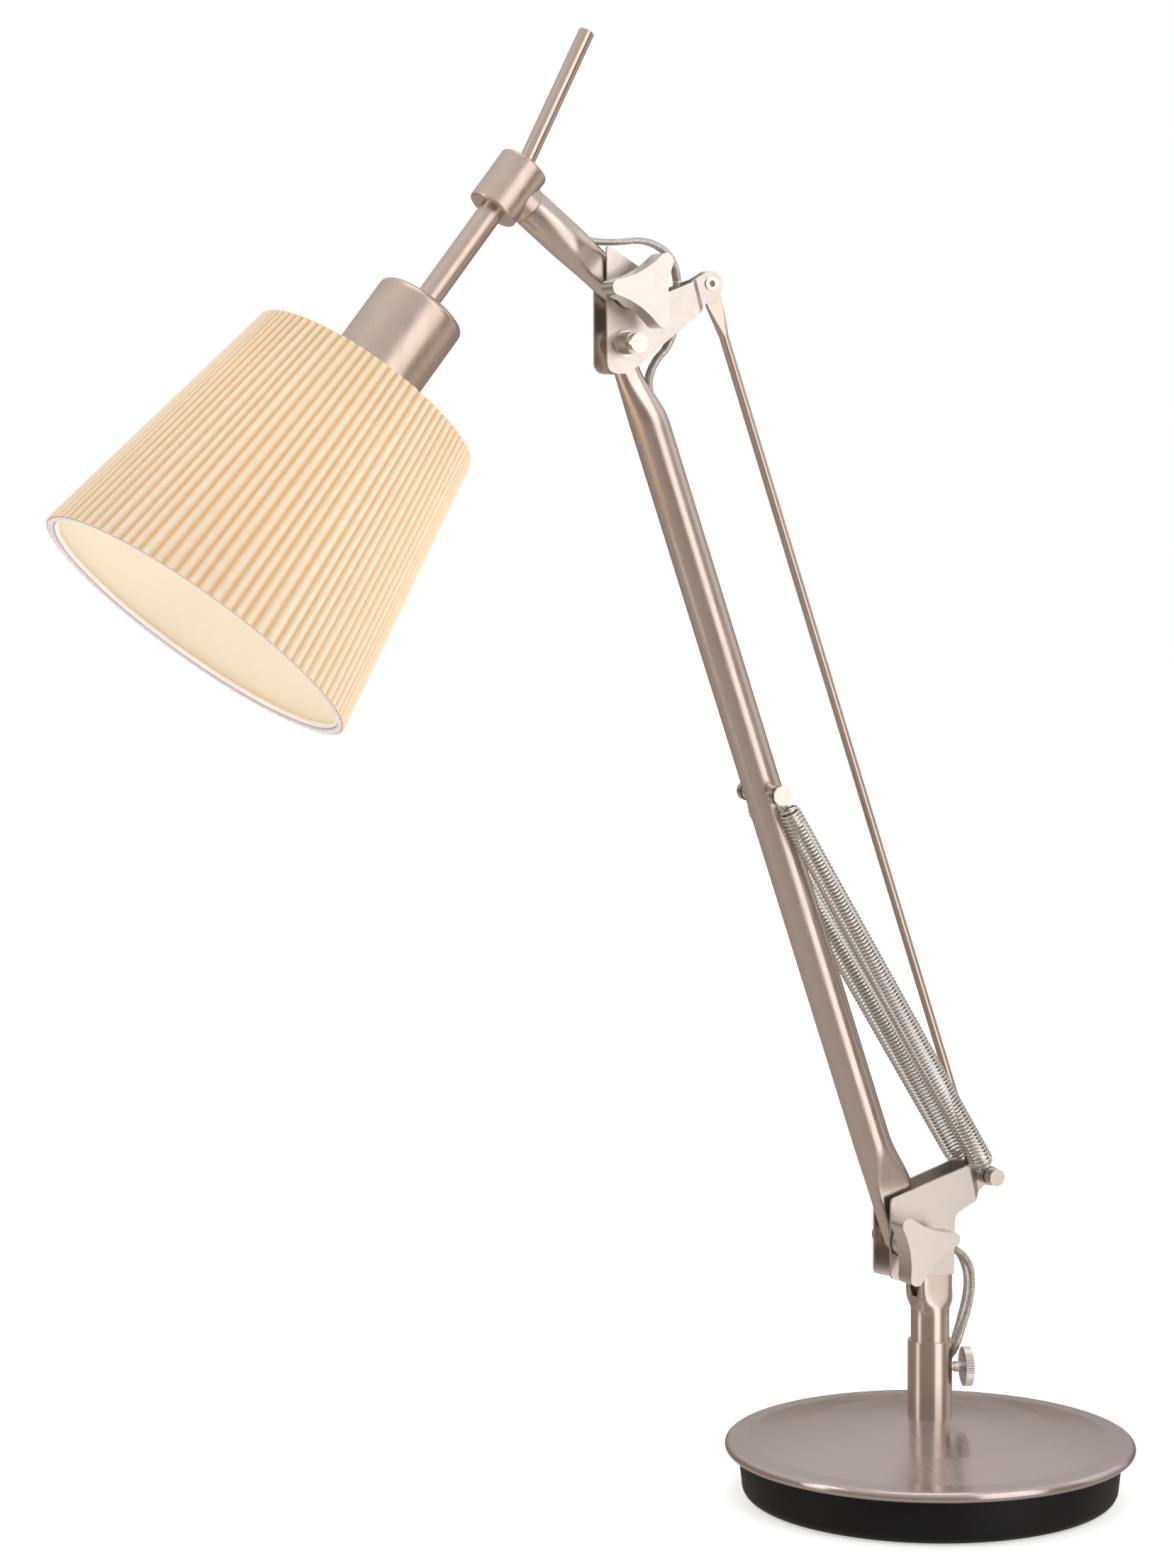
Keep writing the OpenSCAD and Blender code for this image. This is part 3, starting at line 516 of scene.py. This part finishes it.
def make_liner():
    rt, rb = SHADE_RT - PLEAT_T - 0.15, SHADE_RB - PLEAT_T - 0.15
    z0, z1 = SHADE_BOT + 0.5, SHADE_TOP - 0.4
    outer, inner = [], []
    n = 30
    for i in range(n + 1):
        s = i / n
        outer.append((rb + (rt - rb) * s, z0 + (z1 - z0) * s))
        inner.append((rb - 0.6 + (rt - rb) * s, z0 + (z1 - z0) * s))
    prof = outer + inner[::-1]
    o = make_lathe("shade_lining_cone", prof, m_liner)
    al = []
    seg = 256
    for i in range(seg):
        for r, z in prof:
            al.append((z - z0) / (z1 - z0))
    set_attr(o, "along", al)
    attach(o, "head")
    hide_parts("shade_liner")
    # hem tape over the lower edge of the pleats, folded to the inside
    R = SHADE_RB - PLEAT_T
    hem = []
    for a, rr, zz in ((0, 0, 0),):
        pass
    hem = [(R + 0.35, SHADE_BOT + 0.05), (R + 0.15, SHADE_BOT - 0.0), (R - 1.6, SHADE_BOT + 0.0), (R - 1.95, SHADE_BOT + 0.35), (R - 1.9, SHADE_BOT + 2.2), (R - 1.6, SHADE_BOT + 2.4),
           (R - 1.2, SHADE_BOT + 2.2), (R - 1.1, SHADE_BOT + 0.7), (R + 0.2, SHADE_BOT + 0.45)]
    h = make_lathe("shade_hem_tape", hem, m_trim)
    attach(h, "head")
    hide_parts("shade_trim_bottom")


pleats = make_pleats()
make_liner()


# ------------------------------------------------------------------ bulb
def bulb_material():
    b = Mat("bulb_frosted_lit")
    v = b.coords()
    n = b.noise(v, 120.0, 2.0)
    pr = b.bsdf(Base_Color=(1.0, 0.93, 0.8), Roughness=0.35, Normal=b.bump(n, 0.02, 0.0002))
    b.link(b.ramp(n, [(0.0, (1.0, 0.78, 0.48)), (1.0, (1.0, 0.84, 0.58))]), pr.inputs["Emission Color"])
    pr.inputs["Emission Strength"].default_value = 3.0
    return b.m


give(bulb_material(), "bulb_glass")


# ------------------------------------------------------------------ springs
def helix(side):
    lo = B + np.array([0, side * SPRING_LO, 0])
    hi = M + np.array([0, side * SPRING_HI, 0])
    d = hi - lo
    L = float(np.linalg.norm(d))
    d /= L
    e1 = np.cross(d, [0, 1, 0])
    e1 /= np.linalg.norm(e1)
    e2 = np.cross(e1, d)
    wire = 0.62
    z0, z1 = SPRING_END - 4.5, L - SPRING_END + 3.5
    pitch = 2.0
    turns = (z1 - z0) / pitch
    per = 20
    n = int(turns * per)
    pts = []
    for i in range(n + 1):
        s = i / n
        z = z0 + (z1 - z0) * s
        a = 2 * pi * turns * s
        R = SPRING_D / 2 - wire - 0.02 - 0.35 * s
        edge = min(z - z0, z1 - z)
        if edge < 3.5:  # the last coil closes in on the hook
            R *= 0.72 + 0.28 * (edge / 3.5) ** 0.7
        pts.append(lo + d * z + R * (math.cos(a) * e1 + math.sin(a) * e2))
    return pts, wire, d, L, lo


def make_springs():
    for side, name in ((-1, "front"), (1, "back")):
        pts, wire, d, L, base = helix(side)
        v, f = sweep(pts, circle(wire, 8))
        o = obj_from("balance_spring_" + name, v, f, m_spring)
        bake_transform(o)
        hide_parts("spring_" + name)


make_springs()

# ------------------------------------------------------------------ leads
ROUTE_ELBOW = [(-201, 615), (-194, 615), (-188.6, 613.6), (-182, 612.9), (-175, 612.8), (-168, 613.2), (-161, 613.8), (-154, 612.8), (-148, 610), (-144, 606.2), (-141.4, 601), (-140.2, 595.4)]
ROUTE_KNUCKLE = [(-140.2, 595), (-140.2, 588), (-140.8, 580), (-142.4, 572), (-146, 564.4), (-151, 559), (-154.6, 552.6), (-155.4, 546.4), (-153.8, 539.4), (-151.2, 532)]
ROUTE_LOWER = [(-20, 156), (-15, 148), (-10, 140), (-5, 132.5), (1, 127.6), (7, 125.4), (13, 123.4)]
ROUTE_POST = [(13.3, 0, 123.2), (18.6, 0.3, 118.6), (22.2, 0.6, 112), (23.4, 1, 104.6), (22.8, 1.4, 97), (20.6, 1.5, 88.6), (17.4, 1.2, 80), (14.6, 0.8, 73.4), (13.6, 3.4, 69.4), (13.4, 7, 66.2),
              (13.2, 9.8, 64.5), (11.6, 11.6, 63.3), (9.9, 11.0, 62.6), (8.4, 9.33, 62.5), (7.1, 7.885, 62.5)]


def lead_material():
    b = Mat("clear_lead")
    v = b.coords()
    n = b.noise(v, 700.0, 3.0)
    col = b.ramp(n, [(0.3, (0.36, 0.34, 0.30)), (0.7, (0.58, 0.56, 0.51))])
    sh = b.bsdf(Base_Color=col, Metallic=0.55, Roughness=0.3, Normal=b.bump(n, 0.1, 0.0003))
    sh.inputs["Coat Weight"].default_value = 0.8
    sh.inputs["Coat Roughness"].default_value = 0.08
    return b.m


m_lead = lead_material()


def figure8(r, gap):
    out = []
    for cx, a0 in ((gap, -150), (-gap, 30)):
        for i in range(11):
            a = math.radians(a0 + 30 * i)
            out.append((cx + r * math.cos(a), r * math.sin(a)))
    return out


def make_lead(name, route, body_a, body_b, node, flat=None):
    pts = [q if len(q) == 3 else (q[0], 0.0, q[1]) for q in route]
    if flat is None:
        v, f = sweep(spline(pts, 5), figure8(1.45, 1.25))
    else:
        # the flat side of the twin lead turns along the loop: flat lists a direction per route point
        path = spline(pts, 5)
        ups = spline(flat, 5)
        n = len(path)
        v, f = sweep(path, figure8(1.5, 1.4), up=[u / np.linalg.norm(u) for u in ups], scale=[1.0 - 0.3 * ease((i / n - 0.6) / 0.2) for i in range(n)])
    o = obj_from(name, v, f, m_lead, sharp=80.0)
    if body_b:
        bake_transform(o)
    else:
        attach(o, body_a)
    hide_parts(node)


make_lead("lead_loop_elbow", ROUTE_ELBOW, "wrist", "elbow", "lead_elbow")
make_lead("lead_loop_knuckle", ROUTE_KNUCKLE, "elbow", "arm", "lead_knuckle")
make_lead("lead_loop_lower", ROUTE_LOWER, "arm", "turret", "lead_lower")
make_lead("lead_loop_post", ROUTE_POST, "turret", "base", "lead_post",
          flat=[(0, -1, 0), (0.4, -0.9, 0), (0.8, -0.6, 0), (0.9, -0.45, 0.0), (0.9, -0.45, 0), (0.8, -0.6, 0), (0.6, -0.8, 0), (0.3, -0.9, 0.1), (0.1, -0.8, 0.5), (0.1, -0.5, 0.8), (0.1, -0.2, 0.95), (0, 0, 1), (0, 0, 1), (0, 0, 1), (0, 0, 1)])
give(m_lead, "lead_arm")

# ------------------------------------------------------------------ pressed tubes
def stadium(x0, x1, h, k=20):
    out = []
    for c, a0 in ((x1 - h, -90), (x0 + h, 90)):
        for i in range(k + 1):
            a = math.radians(a0 + 180 * i / k)
            out.append((c + h * math.cos(a), h * math.sin(a)))
    return out


def loft(name, rows, place, mat, node, body):
    """rows: (z, x0, x1, h) along the tube's own axis; place maps (x, y, z) to the frame."""
    verts, faces = [], []
    k = 0
    for z, x0, x1, h in rows:
        sec = stadium(x0, x1, h)
        k = len(sec)
        for x, y in sec:
            verts.append(place(x, y, z))
    n = len(rows)
    for i in range(n - 1):
        for j in range(k):
            a, b = i * k + j, i * k + (j + 1) % k
            faces.append((a, b, b + k, a + k))
    faces.append(tuple(range(k - 1, -1, -1)))
    faces.append(tuple((n - 1) * k + j for j in range(k)))
    o = obj_from(name, verts, faces, mat, sharp=50.0)
    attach(o, body)
    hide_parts(node)
    return o


def pressed(z_end, z_flat, z_round, x0, x1, h, r, off, cut, n=18):
    """Rows from the rounded tip at z_end to the round tube at z_round."""
    rows = []
    m = (x0 + x1) / 2 - cut
    for i in range(9):  # rounded tip
        a = (i + 0.12) / 8.12 * pi / 2
        z = z_end + (1 - math.cos(a)) * abs(z_end) * 1.0
        w = math.sin(a) ** 0.8
        e = 0.55 + 0.45 * min(1.0, w * 1.6)
        rows.append((z, m + (x0 - m) * w, m + (x1 - cut * 0.6 - m) * w, min(h, h * e, (x1 - x0) * w * 0.49)))
    for i in range(1, 7):
        t = i / 6
        rows.append((0 + z_flat * t, x0, x1 - cut * 0.6 * (1 - ease(t)), h))
    for i in range(1, n + 1):
        t = i / n
        e = ease(t)
        rows.append((z_flat + (z_round - z_flat) * t, x0 + (off - r - x0) * e, x1 + (off + r - x1) * ease(t * 0.97 + 0.03 * t), h + (r - h) * e))
    return rows


def make_arm():
    r = 9.2
    low = pressed(-7.0, 22.0, 52.0, -6.0, 17.2, 4.2, r, ARM_OFF, 5.0)
    high = pressed(-6.6, 12.0, 42.0, -6.0, 6.4, 4.2, r, ARM_OFF, 0.0)
    rows = low + [(PIN_S, ARM_OFF - r, ARM_OFF + r, r)] + [(ARM_LEN - z, a, b, h) for z, a, b, h in high[::-1]]
    loft("arm_tube_pressed", rows, lambda x, y, z: A + x * SIDE_ARM + z * UP_ARM + y * HEAD_Y, m_arm, "arm_tube", "arm")


def make_wrist():
    side = HEAD_AX
    r = 8.9
    rows = pressed(-8.0, 18.0, 38.0, -8.6, 8.6, 4.6, r, 0.0, 0.0)
    rows.append((WRIST_LEN - 14.6, -r, r, r))
    rows.append((WRIST_LEN - 13.8, -r + 0.4, r - 0.4, r - 0.4))
    loft("wrist_tube_pressed", rows, lambda x, y, z: E + x * side + z * UP_WRIST + y * HEAD_Y, m_wrist, "wrist_tube", "wrist")


def make_post():
    """Round tube whose top is opened at both sides and pressed into two flat tongues."""
    k, rows = 96, 34
    verts, faces = [], []
    r = 9.525
    for i in range(rows + 1):
        t = i / rows
        for j in range(k):
            a = 2 * pi * j / k
            ca, sa = math.cos(a), math.sin(a)
            flat = ease((abs(sa) - 0.30) / 0.42)  # 1 on the tongues, 0 at the open sides
            top = (101.0 if ca < 0 else 104.0) + (111.95 - (101.0 if ca < 0 else 104.0)) * flat
            z = 46.0 + (94.0 - 46.0) * (t / 0.25) if t < 0.25 else 94.0 + (top - 94.0) * ((t - 0.25) / 0.75)
            e = ease((z - 94.0) / 12.0)
            # circle to rounded rectangle
            p = 2.0 + 7.0 * e
            q = (abs(ca) ** p + abs(sa) ** p) ** (-1.0 / p)
            ax = 9.525 + (9.2 - 9.525) * e
            ay = 9.525 + (8.6 - 9.525) * e
            x = q * ca * ax - 0.6 * e
            y = q * sa * ay
            verts.append((x, y, z))
    for i in range(rows):
        for j in range(k):
            a, b = i * k + j, i * k + (j + 1) % k
            faces.append((a, b, b + k, a + k))
    o = obj_from("post_forked", verts, faces, m_sleeve, sharp=55.0)
    md = o.modifiers.new("wall", "SOLIDIFY")
    md.thickness = 1.2 * MM
    md.offset = -1.0
    md.use_rim = True
    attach(o, "turret")
    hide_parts("post")


make_arm()
make_wrist()
make_post()

# ------------------------------------------------------------------ softened edges on the carried-over solids
for name, w, seg in (
    ("elbow_plate_front", 0.3, 2), ("elbow_plate_back", 0.3, 2),
    ("lower_knob", 0.7, 3), ("elbow_knob", 0.7, 3), ("thumb_screw", 0.15, 1), ("post_sleeve", 0.3, 2), ("lamp_cup", 0.1, 1),
):
    o = NODES[name]
    md = o.modifiers.new("edge", "BEVEL")
    md.width = w * MM
    md.segments = seg
    md.limit_method = "ANGLE"
    md.angle_limit = math.radians(40)
    md.harden_normals = False


# ------------------------------------------------------------------ stage and light
def stage_scene():
    me = bpy.data.meshes.new("floor")
    s = 6.0
    me.from_pydata([(-s, -s, 0), (s, -s, 0), (s, s, 0), (-s, s, 0)], [], [(0, 1, 2, 3)])
    fl = bpy.data.objects.new("floor", me)
    scene.collection.objects.link(fl)
    b = Mat("floor_white")
    v = b.coords()
    n = b.noise(v, 3.0, 2.0)
    pr = b.bsdf(Base_Color=b.ramp(n, [(0.0, (0.86, 0.86, 0.86)), (1.0, (0.88, 0.88, 0.88))]), Roughness=0.9)
    pr.inputs["Specular IOR Level"].default_value = 0.0
    pr.inputs["Emission Color"].default_value = (1, 1, 1, 1)
    pr.inputs["Emission Strength"].default_value = 0.52
    lp0 = b.n("ShaderNodeLightPath")
    tr = b.n("ShaderNodeBsdfTransparent")
    mx0 = b.n("ShaderNodeMixShader")
    b.link(lp0.outputs["Is Glossy Ray"], mx0.inputs[0])
    b.link(pr.outputs[0], mx0.inputs[1])
    b.link(tr.outputs[0], mx0.inputs[2])
    b.link(mx0.outputs[0], b.out.inputs["Surface"])
    me.materials.append(b.m)

    w = bpy.data.worlds.new("world")
    scene.world = w
    w.use_nodes = True
    t = w.node_tree
    t.nodes.clear()
    out = t.nodes.new("ShaderNodeOutputWorld")
    seen = t.nodes.new("ShaderNodeBackground")
    seen.inputs[0].default_value = (1, 1, 1, 1)
    seen.inputs[1].default_value = 1.0
    lit = t.nodes.new("ShaderNodeBackground")
    tc = t.nodes.new("ShaderNodeTexCoord")
    sep = t.nodes.new("ShaderNodeSeparateXYZ")
    t.links.new(tc.outputs["Generated"], sep.inputs[0])
    half = t.nodes.new("ShaderNodeMath")
    half.operation = "MULTIPLY_ADD"
    half.inputs[1].default_value = 0.5
    half.inputs[2].default_value = 0.5
    t.links.new(sep.outputs["Z"], half.inputs[0])
    cr = t.nodes.new("ShaderNodeValToRGB")
    el = cr.color_ramp.elements
    el[0].position, el[0].color = 0.0, (0.62, 0.57, 0.53, 1)
    el[1].position, el[1].color = 1.0, (0.95, 0.93, 0.92, 1)
    for pos, col in ((0.30, (0.50, 0.44, 0.40)), (0.42, (0.31, 0.24, 0.195)), (0.5, (0.25, 0.19, 0.155)), (0.56, (0.47, 0.42, 0.39)), (0.75, (0.78, 0.75, 0.73))):
        e = el.new(pos)
        e.color = col + (1.0,)
    t.links.new(half.outputs[0], cr.inputs[0])
    t.links.new(cr.outputs[0], lit.inputs[0])
    lit.inputs[1].default_value = 1.0
    lp = t.nodes.new("ShaderNodeLightPath")
    mx = t.nodes.new("ShaderNodeMixShader")
    t.links.new(lp.outputs["Is Camera Ray"], mx.inputs[0])
    t.links.new(lit.outputs[0], mx.inputs[1])
    t.links.new(seen.outputs[0], mx.inputs[2])
    t.links.new(mx.outputs[0], out.inputs[0])

    f2 = Vector((f_.x, f_.y, 0)).normalized()
    r2 = Vector((r_.x, r_.y, 0)).normalized()
    c = Vector((-0.16, 0, 0.36))

    def box(name, az, dist, width, height, lum, up=0.0, color=(1, 1, 1)):
        """A softbox seen from the lamp az degrees to the right of the camera; lum is how bright it looks."""
        d = bpy.data.lights.new(name, "AREA")
        d.shape = "RECTANGLE"
        d.size, d.size_y = width, height
        d.energy = lum * pi * width * height
        d.color = color
        o = bpy.data.objects.new(name, d)
        scene.collection.objects.link(o)
        a = math.radians(az)
        pos = c + (-f2 * math.cos(a) + r2 * math.sin(a)) * dist + Vector((0, 0, up))
        o.location = pos
        o.rotation_euler = (c - pos).to_track_quat("-Z", "Y").to_euler()
        return o

    box("key_right", 45, 1.9, 1.25, 2.8, 1.42, 0.1, (1.0, 0.985, 0.97))
    box("strip_left", -70, 1.7, 0.50, 2.4, 1.8, 0.3, (1.0, 0.98, 0.96))
    box("side_right", 110, 2.0, 1.6, 2.2, 0.42, 0.3, (1.0, 0.97, 0.94))
    o = box("top", 0, 0.01, 1.5, 1.5, 0.9, 2.3)


stage_scene()
scene.view_settings.view_transform = "Standard"
scene.view_settings.look = "None"
scene.view_settings.exposure = 0.0
